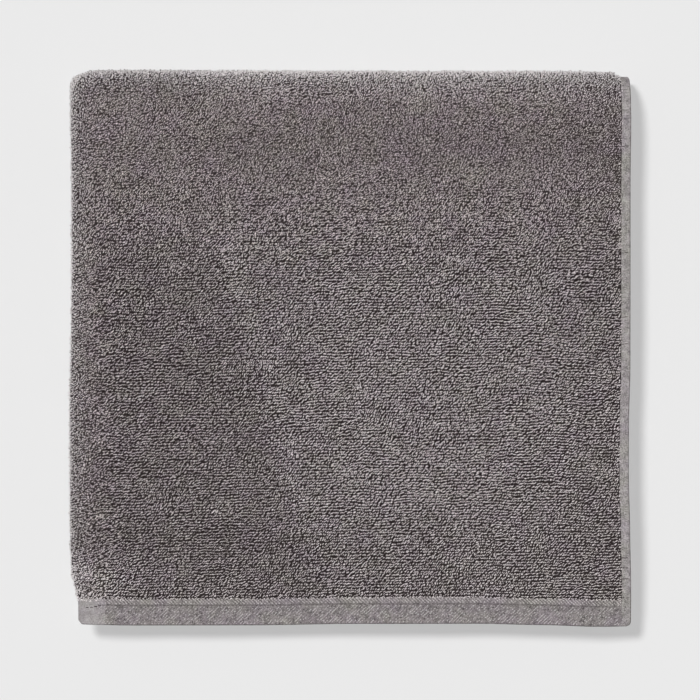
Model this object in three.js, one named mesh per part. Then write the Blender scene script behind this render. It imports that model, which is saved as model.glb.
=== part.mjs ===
// A bath towel of terry cloth, folded into a square stack of eight layers.
// It is folded in half across its width, which leaves the fold at -X and the two
// side hems at +X. The doubled strip is then folded in half along its length, over
// a wide roll at +Y, and in half again, so that one end lies on top of the stack
// with its woven hem at -Y and the other end is tucked in below it.
// Millimetres, +Z up. The towel rests on z = 0 and its origin is at the middle of
// its underside.
import * as THREE from "three";

// The cloth as it is cut and hemmed, and what it is made of
const CUT_WIDTH = 686;
const CUT_LENGTH = 1321;
const TERRY_THICK = 3.5;
const HEM_THICK = 2.0;
const SIDE_HEM = 5.5;
const END_HEM = 16.5;
const PILE_STEP = 1.5;
const HEM_ROUND = 0.7;
const CORNER_ROUND = 0.9;

// The stack: the pitch from one layer to the next, and the plain rectangle that
// the folded towel would fill if its edges lay dead straight
const PITCH = 4.0;
const RIGHT_X = 171.7;
const LEFT_X = -171.7;
const BACK_Y = 169.6;
const FRONT_Y = -169.6;
const STACK_HEIGHT = 8 * PITCH;
const FOLD_RADIUS = PITCH / 2;
const SEAT = (PITCH - TERRY_THICK) / 2;

// Where the top layer's end lies, and the folds across the doubled strip in the
// order in which the cloth meets them. y and level are the fold's centre and radius
// is that of the strip's middle, both in layer pitches. turn is -1 where the strip
// turns over and down, and 1 where it turns back up. hemPull is how far the side
// hems, which are shorter than the pile beside them, are drawn in round the fold.
const TOP_END_Y = FRONT_Y + HEM_ROUND;
const FOLDS = [
  { name: "wide roll", y: 153.8, level: 4, radius: 3, turn: -1, hemPull: 1.9, steps: 10 },
  { name: "front fold", y: -158.3, level: 2, radius: 1, turn: -1, hemPull: 0.15, steps: 6 },
  { name: "inner fold", y: 152.2, level: 4, radius: 1, turn: 1, hemPull: 0.15, steps: 6 },
];

// How far each edge of the stack stands out of the plain rectangle, read along it
const LEFT_EDGE = [
  { at: -170, out: -5.2 },
  { at: -152, out: -5.0 },
  { at: -147, out: -3.2 },
  { at: -138, out: -1.0 },
  { at: -122, out: -0.8 },
  { at: -106, out: 0.3 },
  { at: -34, out: 0.3 },
  { at: -6, out: -0.8 },
  { at: 60, out: -0.5 },
  { at: 150, out: -0.9 },
  { at: 170, out: -1.6 },
];
const RIGHT_EDGE = [
  { at: -170, out: 0.1 },
  { at: -147, out: 0.0 },
  { at: -110, out: -0.7 },
  { at: -78, out: -1.5 },
  { at: -47, out: -1.4 },
  { at: -12, out: -0.5 },
  { at: 100, out: -0.4 },
  { at: 140, out: 0.0 },
  { at: 170, out: -0.3 },
];
const BACK_EDGE = [
  { at: -171, out: -2.4 },
  { at: -158, out: 0.5 },
  { at: -96, out: 0.8 },
  { at: 0, out: -0.1 },
  { at: 46, out: -1.0 },
  { at: 171, out: -1.1 },
];
const TOP_END_EDGE = [
  { at: -171, out: -0.7 },
  { at: -158, out: -0.1 },
  { at: -62, out: -0.4 },
  { at: 0, out: -1.3 },
  { at: 76, out: -1.4 },
  { at: 116, out: -0.6 },
  { at: 153, out: 0.5 },
  { at: 171, out: 0.3 },
];
const FRONT_FOLD_EDGE = [
  { at: -171, out: -1.5 },
  { at: -90, out: 0.4 },
  { at: 20, out: -0.8 },
  { at: 110, out: 0.3 },
  { at: 171, out: -0.9 },
];
const TUCKED_END_EDGE = [
  { at: -171, out: -1.2 },
  { at: -40, out: 0.8 },
  { at: 70, out: -1.1 },
  { at: 171, out: 0.9 },
];

// The strips of two layers, in the order of the cloth's path. A strip's first layer
// begins at the cloth's first side hem. foldBack is how far its fold stands in from
// the left edge, and hemBack how far the side hems of its first and second layers
// stand in from the right one. endDroop is how far the end hems of the two layers
// settle. ripple turns the waves of the hems against those of the next strip.
const STRIPS = [
  { name: "top", foldBack: 0.0, hemBack: [0.0, 1.4], endDroop: [3.4, 2.6], ripple: 0.0 },
  { name: "bottom", foldBack: 1.1, hemBack: [0.9, 0.3], endDroop: [0, 0], ripple: 2.1 },
  { name: "second", foldBack: 0.6, hemBack: [1.7, 0.6], endDroop: [0, 0], ripple: 4.0 },
  { name: "third", foldBack: 1.5, hemBack: [0.5, 2.0], endDroop: [0.6, 1.4], ripple: 5.3 },
];

// How the stack swells and sinks, as a share of its height. reach is how far in from
// its edge each one is felt.
const SWELL = {
  leftFold: { share: 0.035, reach: 46, crest: 13 },
  rightHem: { share: -0.05, reach: 30 },
  roll: { share: -0.115, reach: 36 },
  front: { share: -0.09, reach: 44 },
};

// The hems: how deep and how long their waves are, how far a side hem settles, and
// the run over which the cloth beside a hem follows it
const RIPPLE_DEPTH = 0.45;
const RIPPLE_LENGTH = 118;
const SIDE_DROOP = (TERRY_THICK - HEM_THICK) / 2;
const DROOP_RUN = 5;

// Steps of the surface: across one layer and along each flat run
const HEM_STOPS = [0, SIDE_HEM / 2, SIDE_HEM, SIDE_HEM + PILE_STEP];
const LAYER_STEPS = [16, 40, 90, 150, 210, 265, 305, 328];
const SIDE_FOLD_STEPS = 5;
const END_STOPS = [0, END_HEM / 2, END_HEM, END_HEM + PILE_STEP, 32, 52, 76];
const RUN_STEP = 36;

function ease(t) {
  const k = Math.min(Math.max(t, 0), 1);
  return k * k * (3 - 2 * k);
}

function mix(a, b, t) {
  return a + (b - a) * t;
}

// The value of a table at a place between its rows
function reading(rows, at) {
  if (at <= rows[0].at) return rows[0].out;
  for (let i = 1; i < rows.length; i += 1) {
    const low = rows[i - 1];
    const high = rows[i];
    if (at <= high.at) {
      return mix(low.out, high.out, ease((at - low.at) / (high.at - low.at)));
    }
  }
  return rows[rows.length - 1].out;
}

// The path of the doubled strip in the YZ plane, as flat runs and half turns. The
// last run takes what is left of the cloth's length.
function stripPath() {
  const pieces = [];
  let s = 0;
  let y = TOP_END_Y;
  let level = 7;
  let heading = 0;
  FOLDS.forEach((fold, strip) => {
    const length = Math.abs(fold.y - y);
    pieces.push({ kind: "run", start: s, length, y, level, heading, strip });
    s += length;
    const radius = fold.radius * PITCH;
    const arc = Math.PI * radius;
    pieces.push({ kind: "fold", start: s, length: arc, radius, heading, strip, fold });
    s += arc;
    level += 2 * fold.radius * fold.turn * Math.cos(heading);
    heading += fold.turn * Math.PI;
    y = fold.y;
  });
  const rest = CUT_LENGTH - s;
  const strip = STRIPS.length - 1;
  pieces.push({ kind: "run", start: s, length: rest, y, level, heading, strip });
  return pieces;
}

const PATH = stripPath();

// The strip's middle at a distance s along the cloth: its place, and the direction
// on the left of its travel, which is the side of the cloth's first layer
function stripAt(s) {
  const last = PATH[PATH.length - 1];
  const piece = PATH.find((p) => s <= p.start + p.length) ?? last;
  const gone = s - piece.start;
  if (piece.kind === "run") {
    const way = Math.cos(piece.heading);
    const z = piece.level * PITCH;
    return { y: piece.y + way * gone, z, leftY: 0, leftZ: way, pull: 0, piece, gone };
  }
  const { fold, radius } = piece;
  const angle = piece.heading + (fold.turn * gone) / radius;
  const leftY = -Math.sin(angle);
  const leftZ = Math.cos(angle);
  const y = fold.y - fold.turn * radius * leftY;
  const z = fold.level * PITCH - fold.turn * radius * leftZ;
  const pull = fold.turn * fold.hemPull * Math.sin((Math.PI * gone) / piece.length);
  return { y, z, leftY, leftZ, pull, piece, gone };
}

// The doubled strip's section: the place across it and off its middle of a point
// at a distance a from the first side hem, and the direction of its outer face
const FLAT_ACROSS = (CUT_WIDTH - Math.PI * FOLD_RADIUS) / 2;
const FOLD_X = RIGHT_X - HEM_ROUND - FLAT_ACROSS;

function sectionAt(a) {
  const turned = Math.min(Math.max((a - FLAT_ACROSS) / FOLD_RADIUS, 0), Math.PI);
  const sine = Math.sin(turned);
  const cosine = Math.cos(turned);
  const beyond = a - FLAT_ACROSS - Math.PI * FOLD_RADIUS;
  const flat = a < FLAT_ACROSS ? FLAT_ACROSS - a : Math.max(beyond, 0);
  const x = FOLD_X + flat - FOLD_RADIUS * sine;
  return { x, off: FOLD_RADIUS * cosine, outX: -sine, outOff: cosine };
}

// How much of a point is hem, on the two sides and on the two ends, from 0 to 1
function hemShare(distance, width, run) {
  return 1 - ease((distance - width) / run);
}

function halfThickness(a, s) {
  const side = hemShare(Math.min(a, CUT_WIDTH - a), SIDE_HEM, PILE_STEP);
  const end = hemShare(Math.min(s, CUT_LENGTH - s), END_HEM, PILE_STEP);
  return mix(TERRY_THICK, HEM_THICK, Math.max(side, end)) / 2;
}

// How far a point lies from the first layer, 0, towards the second, 1
function layerAt(a) {
  return ease((a - FLAT_ACROSS) / (Math.PI * FOLD_RADIUS));
}

// A value worked out for a strip, blended into the next strip's along each fold
function stripValue(strip, valueOf) {
  const { piece, gone } = strip;
  const own = valueOf(STRIPS[piece.strip]);
  if (piece.kind === "run") return own;
  return mix(own, valueOf(STRIPS[piece.strip + 1]), ease(gone / piece.length));
}

// The edge that the front end of a strip follows
function frontEdge(strip) {
  if (strip.piece.strip === 0) return TOP_END_EDGE;
  if (strip.piece.strip === STRIPS.length - 1) return TUCKED_END_EDGE;
  return FRONT_FOLD_EDGE;
}

// The wander of the edges, felt less and less towards the opposite edge
function wander(point, strip, a) {
  const across = (point.x - LEFT_X) / (RIGHT_X - LEFT_X);
  const along = (point.y - FRONT_Y) / (BACK_Y - FRONT_Y);
  const hemBack = stripValue(strip, (row) => mix(...row.hemBack, layerAt(a)));
  const right = reading(RIGHT_EDGE, point.y) - hemBack * ease((across - 0.5) * 2);
  const left = reading(LEFT_EDGE, point.y) - stripValue(strip, (row) => row.foldBack);
  const back = reading(BACK_EDGE, point.x);
  const front = reading(frontEdge(strip), point.x);
  point.x += right * across - left * (1 - across);
  point.y += back * along - front * (1 - along);
}

// The droop and the waves of the hems
function settleHems(point, strip, a, s) {
  const sideDistance = Math.min(a, CUT_WIDTH - a);
  const endDistance = Math.min(s, CUT_LENGTH - s);
  const side = hemShare(sideDistance, 0, SIDE_HEM + DROOP_RUN);
  const sideThin = hemShare(sideDistance, SIDE_HEM, PILE_STEP);
  const end = hemShare(endDistance, 0, END_HEM + DROOP_RUN);
  const endDroop = stripValue(strip, (row) => mix(...row.endDroop, layerAt(a)));
  const height = point.z / STACK_HEIGHT;
  const phase = stripValue(strip, (row) => row.ripple) + layerAt(a) * (Math.PI / 2);
  const wave = Math.sin((2 * Math.PI * point.y) / RIPPLE_LENGTH + phase);
  const endWave = Math.sin((2 * Math.PI * point.x) / RIPPLE_LENGTH + phase);
  point.z -= Math.max(SIDE_DROOP * sideThin, endDroop * end);
  point.z += RIPPLE_DEPTH * height * (wave * side + endWave * end * (1 - side));
}

// The swell of the whole stack, which leaves the underside flat
function swellAt(x, y) {
  const { leftFold, rightHem, roll, front } = SWELL;
  const fromLeft = x - LEFT_X;
  const rise = ease(fromLeft / leftFold.crest);
  const ridge = leftFold.share * rise * (1 - ease((fromLeft - leftFold.crest) / leftFold.reach));
  const hem = rightHem.share * (1 - ease((RIGHT_X - x) / rightHem.reach));
  const back = roll.share * (1 - ease((BACK_Y - y) / roll.reach));
  const end = front.share * (1 - ease((y - FRONT_Y) / front.reach));
  return 1 + ridge + hem + back + end;
}

// A point of the cloth: side is 1 on its outer face, -1 on its inner face and 0 in
// its middle
function clothPoint(a, s, side) {
  const section = sectionAt(a);
  const strip = stripAt(s);
  const half = side * halfThickness(a, s);
  const drawnIn = hemShare(Math.min(a, CUT_WIDTH - a), SIDE_HEM, DROOP_RUN) * strip.pull;
  const off = section.off + section.outOff * half + drawnIn;
  const point = new THREE.Vector3(
    section.x + section.outX * half,
    strip.y + strip.leftY * off,
    strip.z + strip.leftZ * off - SEAT,
  );
  settleHems(point, strip, a, s);
  const swell = swellAt(point.x, point.y);
  wander(point, strip, a);
  point.z = Math.max(point.z * swell, 0);
  return point;
}

// The places across the cloth where its surface has points
function stopsAcross() {
  const layer = [...HEM_STOPS, ...LAYER_STEPS, FLAT_ACROSS];
  const fold = [];
  for (let i = 1; i < SIDE_FOLD_STEPS; i += 1) {
    fold.push(FLAT_ACROSS + (Math.PI * FOLD_RADIUS * i) / SIDE_FOLD_STEPS);
  }
  const back = layer.map((a) => CUT_WIDTH - a).reverse();
  return [...layer, ...fold, ...back];
}

// The places along the cloth where its surface has points
function stopsAlong() {
  const tuckedStops = END_STOPS.map((s) => CUT_LENGTH - s).reverse();
  const stops = [...END_STOPS];
  const last = PATH[PATH.length - 1];
  PATH.forEach((piece) => {
    const from = piece === PATH[0] ? END_STOPS[END_STOPS.length - 1] : piece.start;
    const to = piece === last ? tuckedStops[0] : piece.start + piece.length;
    const steps = piece.kind === "fold" ? piece.fold.steps : Math.ceil((to - from) / RUN_STEP);
    for (let i = 1; i <= steps; i += 1) {
      stops.push(mix(from, to, i / steps));
    }
  });
  return [...stops, ...tuckedStops.slice(1)];
}

// The closed surface of the cloth: an outer and an inner face, joined round their
// border by a rim with one row of points along its middle
function clothGeometry() {
  const across = stopsAcross();
  const along = stopsAlong();
  const columns = across.length;
  const rows = along.length;
  const positions = [];
  const indices = [];

  const add = (a, s, side) => {
    positions.push(...clothPoint(a, s, side).toArray());
    return positions.length / 3 - 1;
  };
  const quad = (p, q, r, t) => {
    indices.push(p, q, r, p, r, t);
  };

  // A corner of the cut cloth is rounded by drawing its points in
  const isCorner = (i, j) => (i === 0 || i === columns - 1) && (j === 0 || j === rows - 1);
  const inward = (index, count) => (index === 0 ? 1 : index === count - 1 ? -1 : 0);
  const face = (side) => across.map((a, i) => along.map((s, j) => {
    const draw = isCorner(i, j) ? CORNER_ROUND : 0;
    return add(a + draw * inward(i, columns), s + draw * inward(j, rows), side);
  }));
  const outer = face(1);
  const inner = face(-1);
  const rim = (i, j) => {
    const push = isCorner(i, j) ? CORNER_ROUND - HEM_ROUND / 2 : -HEM_ROUND;
    return add(across[i] + push * inward(i, columns), along[j] + push * inward(j, rows), 0);
  };

  for (let i = 0; i < columns - 1; i += 1) {
    for (let j = 0; j < rows - 1; j += 1) {
      quad(outer[i][j], outer[i][j + 1], outer[i + 1][j + 1], outer[i + 1][j]);
      quad(inner[i][j], inner[i + 1][j], inner[i + 1][j + 1], inner[i][j + 1]);
    }
  }

  // The border, walked so that the cloth is always on the same hand
  const border = [];
  for (let j = 0; j < rows - 1; j += 1) border.push([0, j]);
  for (let i = 0; i < columns - 1; i += 1) border.push([i, rows - 1]);
  for (let j = rows - 1; j > 0; j -= 1) border.push([columns - 1, j]);
  for (let i = columns - 1; i > 0; i -= 1) border.push([i, 0]);
  const middle = border.map(([i, j]) => rim(i, j));
  border.forEach(([i, j], k) => {
    const next = (k + 1) % border.length;
    const [ni, nj] = border[next];
    quad(outer[i][j], middle[k], middle[next], outer[ni][nj]);
    quad(middle[k], inner[i][j], inner[ni][nj], middle[next]);
  });

  const geometry = new THREE.BufferGeometry();
  geometry.setAttribute("position", new THREE.Float32BufferAttribute(positions, 3));
  geometry.setIndex(indices);
  return geometry;
}

// The finished cloth, moved so that its outline is centred on the origin
function makeTowel() {
  const geometry = clothGeometry();
  geometry.computeBoundingBox();
  const { min, max } = geometry.boundingBox;
  geometry.translate(-(min.x + max.x) / 2, -(min.y + max.y) / 2, -min.z);
  geometry.computeVertexNormals();
  const terry = new THREE.MeshStandardMaterial({
    color: 0x6f6868,
    roughness: 0.95,
    metalness: 0,
  });
  const mesh = new THREE.Mesh(geometry, terry);
  mesh.name = "towel";
  return mesh;
}

const towel = new THREE.Group();
towel.add(makeTowel());

export default towel;
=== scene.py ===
# %% [markdown]
# # A folded bath towel
# The towel is one piece of terry cloth, folded in half across its width and then
# twice along its length. Its fixed frame is a closed sheet that already lies in
# those folds. This lesson dresses it: the sheet is made again with finer folds and
# hems, and the loops of the pile, the twill of the end hem and the stitches are
# laid on it as real small shapes, because a bump alone would leave the edges bare.

# %% Load the fixed frame
import math

import bpy
import numpy as np
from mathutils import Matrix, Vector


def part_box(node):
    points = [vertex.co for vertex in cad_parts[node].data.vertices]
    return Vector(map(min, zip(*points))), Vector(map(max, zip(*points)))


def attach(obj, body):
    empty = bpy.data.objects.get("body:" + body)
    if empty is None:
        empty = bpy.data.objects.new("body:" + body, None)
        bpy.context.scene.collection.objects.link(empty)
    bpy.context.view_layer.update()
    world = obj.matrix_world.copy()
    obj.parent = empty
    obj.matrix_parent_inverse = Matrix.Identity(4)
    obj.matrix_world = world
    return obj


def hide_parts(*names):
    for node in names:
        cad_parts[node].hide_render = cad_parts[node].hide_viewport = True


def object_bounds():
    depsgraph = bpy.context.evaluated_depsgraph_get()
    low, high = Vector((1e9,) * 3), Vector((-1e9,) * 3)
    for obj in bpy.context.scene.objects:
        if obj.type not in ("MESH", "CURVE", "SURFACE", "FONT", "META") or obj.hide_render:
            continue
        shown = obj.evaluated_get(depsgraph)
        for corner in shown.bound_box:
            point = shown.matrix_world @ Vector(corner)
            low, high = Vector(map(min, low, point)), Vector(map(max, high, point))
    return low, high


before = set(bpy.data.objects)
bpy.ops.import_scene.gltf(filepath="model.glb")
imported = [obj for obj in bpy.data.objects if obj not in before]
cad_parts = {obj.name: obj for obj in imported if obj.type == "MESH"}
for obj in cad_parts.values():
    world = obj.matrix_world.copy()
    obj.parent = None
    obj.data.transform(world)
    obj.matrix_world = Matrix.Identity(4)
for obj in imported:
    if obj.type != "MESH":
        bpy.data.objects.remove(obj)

cad_box = [list(corner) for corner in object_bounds()]
print("frame box", cad_box)

# %% [markdown]
# ## The camera
# The picture is taken from straight above with a long lens, so the sides of the
# stack don't show. The camera comes first: its distance follows from the width of
# table that the picture takes in at the height of the towel's top.

# %% Set the camera above the towel
PICTURE_WIDTH = 0.4289
CAMERA_X = -0.0002
CAMERA_Y = -0.0015
LENS_MM = 250
SENSOR_MM = 36

towel_top = cad_box[1][2]
camera_height = towel_top + PICTURE_WIDTH * LENS_MM / SENSOR_MM
bpy.ops.object.select_all(action="DESELECT")
bpy.ops.object.camera_add(location=(CAMERA_X, CAMERA_Y, camera_height), rotation=(0, 0, 0))
camera = bpy.context.object
camera.name = "top_camera"
camera.data.lens = LENS_MM
camera.data.sensor_width = SENSOR_MM
camera.data.clip_end = 20
bpy.context.scene.camera = camera
print("camera height", round(camera_height, 3))

# %% [markdown]
# ## Light and floor
# A plain pale floor takes a soft shadow to the right and below. Three lights make
# it: a soft sun from the upper left, a wide one from overhead that keeps the shadow
# pale, and an even sky for the sides.

# %% Lay the floor and set the lights
FLOOR_SIZE = 8
FLOOR_TONE = 0.8
KEY_FROM = (-0.385, 0.385, 1.0)
KEY_STRENGTH = 1.37
KEY_SOFT_DEG = 12.5
OVERHEAD_STRENGTH = 1.65
OVERHEAD_SOFT_DEG = 8
SKY_STRENGTH = 0.12
SKY_SEEN = 0.83


def add_sun(name, towards, strength, soft_deg):
    reach = math.hypot(towards[0], towards[1])
    tilt = math.atan2(reach, towards[2])
    turn = math.atan2(towards[1], towards[0]) + math.pi / 2
    bpy.ops.object.light_add(type="SUN", rotation=(tilt, 0, turn))
    sun = bpy.context.object
    sun.name = name
    sun.data.energy = strength
    sun.data.angle = math.radians(soft_deg)
    return sun


bpy.ops.mesh.primitive_plane_add(size=FLOOR_SIZE, location=(0, 0, -0.0002))
floor = bpy.context.object
floor.name = "floor"
floor_finish = bpy.data.materials.new("pale_floor")
floor_finish.use_nodes = True
floor_shader = floor_finish.node_tree.nodes["Principled BSDF"]
floor_shader.inputs["Base Color"].default_value = (FLOOR_TONE, FLOOR_TONE, FLOOR_TONE, 1)
floor_shader.inputs["Roughness"].default_value = 0.9
floor_shader.inputs["Specular IOR Level"].default_value = 0.1
floor.data.materials.append(floor_finish)

add_sun("key_light", KEY_FROM, KEY_STRENGTH, KEY_SOFT_DEG)
add_sun("overhead_light", (0, 0, 1), OVERHEAD_STRENGTH, OVERHEAD_SOFT_DEG)

sky = bpy.data.worlds.new("studio")
sky.use_nodes = True
sky_nodes = sky.node_tree.nodes
sky_links = sky.node_tree.links
seen = sky_nodes.new("ShaderNodeBackground")
seen.inputs["Color"].default_value = (1, 1, 1, 1)
seen.inputs["Strength"].default_value = SKY_SEEN
fill = sky_nodes["Background"]
fill.inputs["Color"].default_value = (1, 1, 1, 1)
fill.inputs["Strength"].default_value = SKY_STRENGTH
kind_of_ray = sky_nodes.new("ShaderNodeLightPath")
choose = sky_nodes.new("ShaderNodeMixShader")
sky_links.new(kind_of_ray.outputs["Is Camera Ray"], choose.inputs[0])
sky_links.new(fill.outputs[0], choose.inputs[1])
sky_links.new(seen.outputs[0], choose.inputs[2])
sky_links.new(choose.outputs[0], sky_nodes["World Output"].inputs["Surface"])
bpy.context.scene.world = sky
bpy.context.scene.view_settings.view_transform = "Standard"

# %% [markdown]
# ## How the cloth lies
# Every point of the cloth has two addresses: how far it is across the cloth from
# its first side hem, and how far along it is from its first end. One function turns
# the pair into a place in the folded stack. The sheet, the loops and the stitches
# all use it, so they can't come apart.

# %% Sizes of the cloth and its folds
MM = 0.001
CUT_WIDTH = 686 * MM
CUT_LENGTH = 1321 * MM
TERRY_HALF = 1.75 * MM
HEM_HALF = 1.0 * MM
SIDE_HEM = 5.5 * MM
END_HEM = 16.5 * MM
PILE_STEP = 1.5 * MM
HEM_ROUND = 0.7 * MM
PITCH = 4.0 * MM
RIGHT_X = 171.7 * MM
LEFT_X = -171.7 * MM
BACK_Y = 169.6 * MM
FRONT_Y = -169.6 * MM
STACK_HEIGHT = 8 * PITCH
FOLD_RADIUS = PITCH / 2
SEAT = PITCH / 2 - TERRY_HALF
FLAT_ACROSS = (CUT_WIDTH - math.pi * FOLD_RADIUS) / 2
FOLD_END = FLAT_ACROSS + math.pi * FOLD_RADIUS
FOLD_X = RIGHT_X - HEM_ROUND - FLAT_ACROSS

# y, level, radius, turn and hem pull of each fold across the strip
FOLDS = [
    {"name": "wide roll", "y": 153.8, "level": 4, "radius": 3, "turn": -1, "pull": 1.9},
    {"name": "front fold", "y": -158.3, "level": 2, "radius": 1, "turn": -1, "pull": 0.15},
    {"name": "inner fold", "y": 152.2, "level": 4, "radius": 1, "turn": 1, "pull": 0.15},
]

# How far each edge stands out of a plain rectangle: millimetres along it, then out
LEFT_EDGE = [
    (-170, -3.9), (-154, -4.0), (-147, -2.7), (-138, -0.5), (-122, 0.1), (-106, 0.5),
    (-62, 0.5), (-31, 0.7), (0, -0.1), (30, -0.5), (91, -0.6), (122, -0.3), (150, 0.2),
    (162, 0.0), (170, -1.0),
]
RIGHT_EDGE = [
    (-170, 0.1), (-147, 0.0), (-110, -0.7), (-78, -1.5), (-47, -1.4), (-12, -0.5),
    (100, -0.4), (140, 0.0), (170, -0.3),
]
BACK_EDGE = [
    (-171, 0.2), (-158, 3.0), (-96, 2.75), (0, 2.5), (46, 2.3), (120, 2.4), (153, 2.1),
    (171, 1.7),
]
TOP_END_EDGE = [
    (-171, -1.1), (-158, -0.8), (-140, -0.4), (-62, -0.5), (0, -1.4), (76, -1.5),
    (116, -0.7), (153, 0.4), (171, 0.2),
]
FRONT_FOLD_EDGE = [(-171, -1.5), (-90, 0.4), (20, -0.8), (110, 0.3), (171, -0.9)]
TUCKED_END_EDGE = [(-171, -1.2), (-40, 0.8), (70, -1.1), (171, 0.9)]

# One row for each strip of two layers, in the order of the cloth's path
STRIPS = [
    {"fold_back": 0.0, "hem_back": (0.0, 1.4), "end_droop": (3.4, 2.6), "ripple": 0.0},
    {"fold_back": 1.1, "hem_back": (0.9, 0.3), "end_droop": (0, 0), "ripple": 2.1},
    {"fold_back": 0.6, "hem_back": (1.7, 0.6), "end_droop": (0, 0), "ripple": 4.0},
    {"fold_back": 1.5, "hem_back": (0.5, 2.0), "end_droop": (0.6, 1.4), "ripple": 5.3},
]

RIPPLE_DEPTH = 0.45 * MM
RIPPLE_LENGTH = 118 * MM
SIDE_DROOP = TERRY_HALF - HEM_HALF
DROOP_RUN = 5 * MM
print("cloth", CUT_WIDTH, "by", CUT_LENGTH)

# %% Soft steps, tables and noise


def ease(t):
    k = np.clip(t, 0, 1)
    return k * k * (3 - 2 * k)


def mix(a, b, t):
    return a + (b - a) * t


def reading(rows, at):
    """The value of a table in millimetres at a place in metres."""
    places, values = np.array(rows, float).T * MM
    row = np.clip(np.searchsorted(places, at) - 1, 0, len(places) - 2)
    t = ease((at - places[row]) / (places[row + 1] - places[row]))
    return mix(values[row], values[row + 1], t)


def soft_noise(x, y, size, seed):
    """Smooth lumps from -1 to 1 that are about size metres across."""
    grid = np.random.default_rng(seed).uniform(-1, 1, (64, 64))
    u, v = np.asarray(x) / size + 1000, np.asarray(y) / size + 1000
    i, j = np.floor(u).astype(int), np.floor(v).astype(int)
    p, q = ease(u - i), ease(v - j)
    low = mix(grid[i % 64, j % 64], grid[(i + 1) % 64, j % 64], p)
    high = mix(grid[i % 64, (j + 1) % 64], grid[(i + 1) % 64, (j + 1) % 64], p)
    return mix(low, high, q)


# %% The path of the doubled strip


def strip_path():
    """Flat runs and half turns, each a row of plain numbers, in the cloth's order."""
    rows, s, y, level, heading = [], 0.0, FRONT_Y + HEM_ROUND, 7, 0.0
    for strip, fold in enumerate(FOLDS):
        fold_y = fold["y"] * MM
        length = abs(fold_y - y)
        rows.append((s, length, y, level * PITCH, heading, 0, 0.0, 0.0, strip))
        s += length
        radius = fold["radius"] * PITCH
        pull = fold["pull"] * MM
        centre = fold["level"] * PITCH
        rows.append(
            (s, math.pi * radius, fold_y, centre, heading, fold["turn"], radius, pull, strip)
        )
        s += math.pi * radius
        level += 2 * fold["radius"] * fold["turn"] * math.cos(heading)
        heading += fold["turn"] * math.pi
        y = fold_y
    rows.append((s, CUT_LENGTH - s, y, level * PITCH, heading, 0, 0.0, 0.0, len(FOLDS)))
    return np.array(rows)


PATH = strip_path()
ROLL_START, ROLL_END = PATH[1, 0], PATH[2, 0]
FRONT_START, FRONT_END = PATH[3, 0], PATH[4, 0]


def strip_at(s):
    """The strip's middle at s, its left-hand direction, and what goes on there."""
    row = np.clip(np.searchsorted(PATH[:, 0], s, side="right") - 1, 0, len(PATH) - 1)
    start, length, y, z, heading, turn, radius, pull, strip = np.moveaxis(PATH[row], -1, 0)
    gone = s - start
    flat = turn == 0
    angle = heading + np.where(flat, 0, turn * gone / np.maximum(radius, PITCH))
    left_y, left_z = -np.sin(angle), np.cos(angle)
    way = np.cos(heading)
    place_y = np.where(flat, y + way * gone, y - turn * radius * left_y)
    place_z = np.where(flat, z, z - turn * radius * left_z)
    bend = np.where(flat, 0, turn * pull * np.sin(math.pi * gone / length))
    blend = np.where(flat, 0, ease(gone / length))
    return place_y, place_z, left_y, left_z, bend, strip.astype(int), blend


def strip_value(name, strip, blend, layer=0.0):
    """A column of STRIPS at each point. A pair goes over from layer to layer."""
    pairs = np.array([np.broadcast_to(row[name], 2) for row in STRIPS + STRIPS[-1:]], float)
    first, second = np.moveaxis(mix(pairs[strip], pairs[strip + 1], blend[..., None]), -1, 0)
    return mix(first, second, layer)


def layer_at(a):
    return ease((a - FLAT_ACROSS) / (math.pi * FOLD_RADIUS))


def hem_share(distance, width, run):
    return 1 - ease((distance - width) / run)


# %% The swell of the stack
LEFT_CREST = {"share": 0.035, "crest": 13 * MM, "reach": 46 * MM}
RIGHT_SINK = {"share": -0.05, "reach": 30 * MM}
ROLL_SINK = {"share": -0.115, "reach": 36 * MM}
FRONT_SINK = {"share": -0.09, "reach": 44 * MM}
LUMP_SHARE = 0.012

# A soft crease runs aslant over the top, and the cloth lies lower to its left
CREASE_X = -95.4 * MM
CREASE_Y = 91 * MM
CREASE_LEAN = 0.3065
CREASE_WIDTH = 22 * MM
CREASE_SHARE = -0.022


def slope(value, start, stop):
    """0 at start, easing to 1 at stop, whichever of the two is larger."""
    return ease((value - start) / (stop - start))


def left_of_crease(x, y):
    crease = CREASE_X + CREASE_LEAN * (CREASE_Y - y)
    beside = slope(x, crease + CREASE_WIDTH / 2, crease - CREASE_WIDTH / 2)
    return beside * slope(y, CREASE_Y - 4 * MM, CREASE_Y - 36 * MM)


def sink(row, distance):
    return row["share"] * (1 - ease(distance / row["reach"]))


def swell_at(x, y):
    """How high the stack stands at x, y, as a share of its even height."""
    from_left = x - LEFT_X
    crest, reach = LEFT_CREST["crest"], LEFT_CREST["reach"]
    ridge = LEFT_CREST["share"] * ease(from_left / crest) * (1 - ease((from_left - crest) / reach))
    hem = sink(RIGHT_SINK, RIGHT_X - x)
    roll = sink(ROLL_SINK, BACK_Y - y)
    front = sink(FRONT_SINK, y - FRONT_Y)
    lumps = LUMP_SHARE * soft_noise(x, y, 55 * MM, 11)
    low = CREASE_SHARE * left_of_crease(x, y) * slope(x, LEFT_X + 12 * MM, LEFT_X + 50 * MM)
    return 1 + ridge + hem + roll + front + lumps + low


# %% The corners of the hems
CORNER_RADIUS = 2.6 * MM
CORNER_REACH = 12 * MM
WOBBLE = 0.28 * MM
WOBBLE_SIZE = 24 * MM


def corner_inset(distance):
    """How far a rounded edge lies back at a distance from the other edge."""
    left = CORNER_RADIUS - np.clip(distance, 0, CORNER_RADIUS)
    return CORNER_RADIUS - np.sqrt(CORNER_RADIUS**2 - left**2)


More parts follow.
